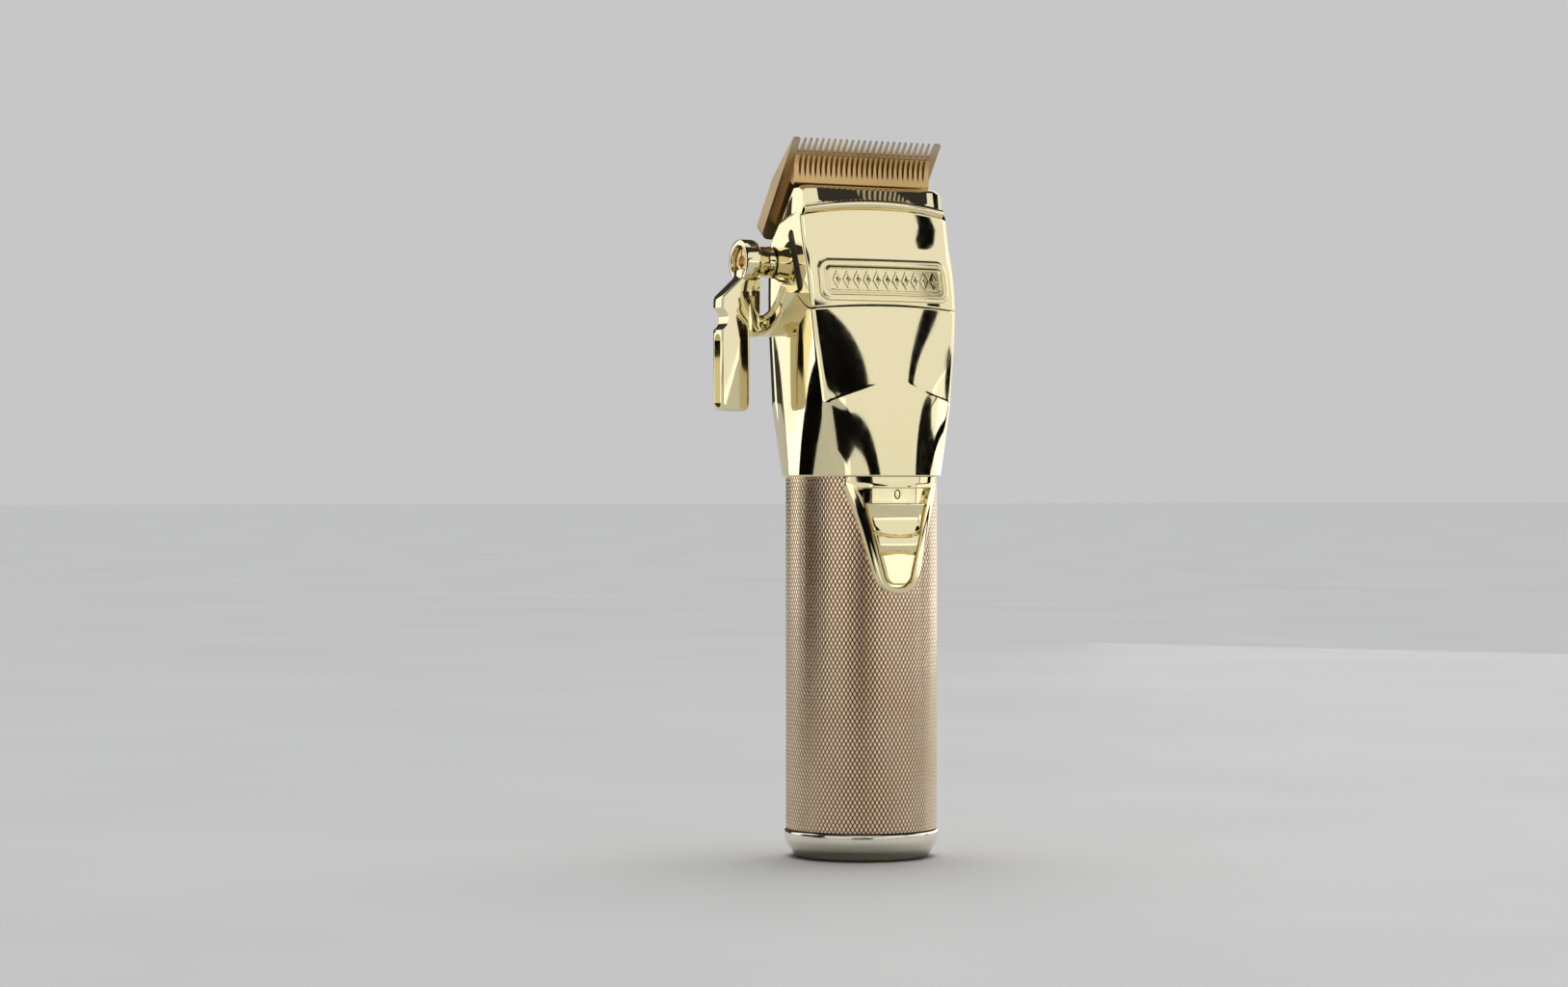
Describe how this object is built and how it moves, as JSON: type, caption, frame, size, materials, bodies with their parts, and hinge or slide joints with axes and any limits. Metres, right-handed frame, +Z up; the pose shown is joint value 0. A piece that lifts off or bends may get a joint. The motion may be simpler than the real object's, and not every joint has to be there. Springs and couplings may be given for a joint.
{
  "type": "hair clipper",
  "caption": "Upright cordless hair clipper with a knurled metal handle, gold chrome head, sliding switch, taper lever and a toothed blade set.",
  "frame": {"origin": "centre of the end ring the clipper stands on, in the plane it stands on", "axes": "+Z up the handle towards the blades; the nameplate and switch face -Y; the taper lever is on the -X side"},
  "size_m": [0.0618, 0.0436, 0.1956],
  "materials": {
    "bezel": "fine circular brushing",
    "gasket": "matt",
    "sleeve": "satin diamond knurl",
    "gold_chrome": "mirror",
    "nameplate": "satin",
    "switch_gold": "mirror",
    "switch_strip": "satin",
    "black_plastic": "matt",
    "board": "matt",
    "brass": "satin",
    "steel": "turned",
    "dark_steel": "satin",
    "blade_gold": "matt titanium coat",
    "cutter_gold": "matt titanium coat",
    "screw_gold": "brushed",
    "clear_tube": "smoky clear",
    "cell_wrap": "gloss",
    "led_ring": "gloss",
    "white_plastic": "matt"
  },
  "bodies": {
    "handle": {"end_bezel": "bezel", "bezel_gasket": "gasket", "handle_sleeve": "sleeve", "battery_bay": "black_plastic", "main_housing": "gold_chrome", "head_cover": "gold_chrome", "nameplate": "nameplate", "switch_plate": "switch_strip", "control_board": "board", "slide_switch": "black_plastic", "contact_springs": "brass", "detent_quadrant": "gold_chrome", "motor_frame": "black_plastic", "motor_can": "steel", "motor_end_cap": "black_plastic", "motor_magnets": "dark_steel", "housing_screw_left": "dark_steel", "housing_screw_right": "dark_steel", "tension_spring": "steel"},
    "switch": {"switch_slider": "switch_gold", "switch_tab": "white_plastic"},
    "lever": {"taper_lever": "gold_chrome", "lever_shaft": "gold_chrome", "lever_screw": "screw_gold", "lever_clip": "dark_steel", "detent_pin": "steel"},
    "blade": {"fixed_blade": "blade_gold", "blade_carrier": "black_plastic", "blade_screw_left": "steel", "blade_screw_right": "steel"},
    "cutter": {"cutter_blade": "cutter_gold", "drive_fork": "black_plastic"},
    "rotor": {"motor_shaft": "steel", "motor_rotor": "dark_steel", "eccentric_cam": "brass"},
    "battery": {"battery_shell": "clear_tube", "battery_foot_cap": "black_plastic", "battery_led_ring": "led_ring", "charge_contacts": "brass", "battery_cell": "cell_wrap", "battery_crown_cap": "black_plastic", "battery_terminals": "brass"}
  },
  "joints": [
    {"name": "power_switch", "type": "slide", "parent": "handle", "child": "switch", "axis": [0, 0, 1], "range_m": [0, 0.0035]},
    {"name": "taper_lever_turn", "type": "hinge", "parent": "handle", "child": "lever", "pos_m": [-0.025, 0.0104, 0.1624], "axis": [-1, 0, 0], "range_deg": [0, 55]},
    {"name": "blade_gap", "type": "slide", "parent": "handle", "child": "blade", "axis": [0, 0.6018, -0.7986], "range_m": [0, 0.003]},
    {"name": "cutter_stroke", "type": "slide", "parent": "handle", "child": "cutter", "axis": [1, 0, 0], "range_m": [-0.0015, 0.0015]},
    {"name": "motor_spin", "type": "hinge", "parent": "handle", "child": "rotor", "pos_m": [0, 0, 0.13], "axis": [0, 0, 1], "continuous": true},
    {"name": "battery_pull", "type": "slide", "parent": "handle", "child": "battery", "axis": [0, 0, -1], "range_m": [0, 0.085]}
  ],
  "couplings": [
    {"joint": "blade_gap", "follows": "taper_lever_turn", "m_per_rad": 0.0031252}
  ]
}
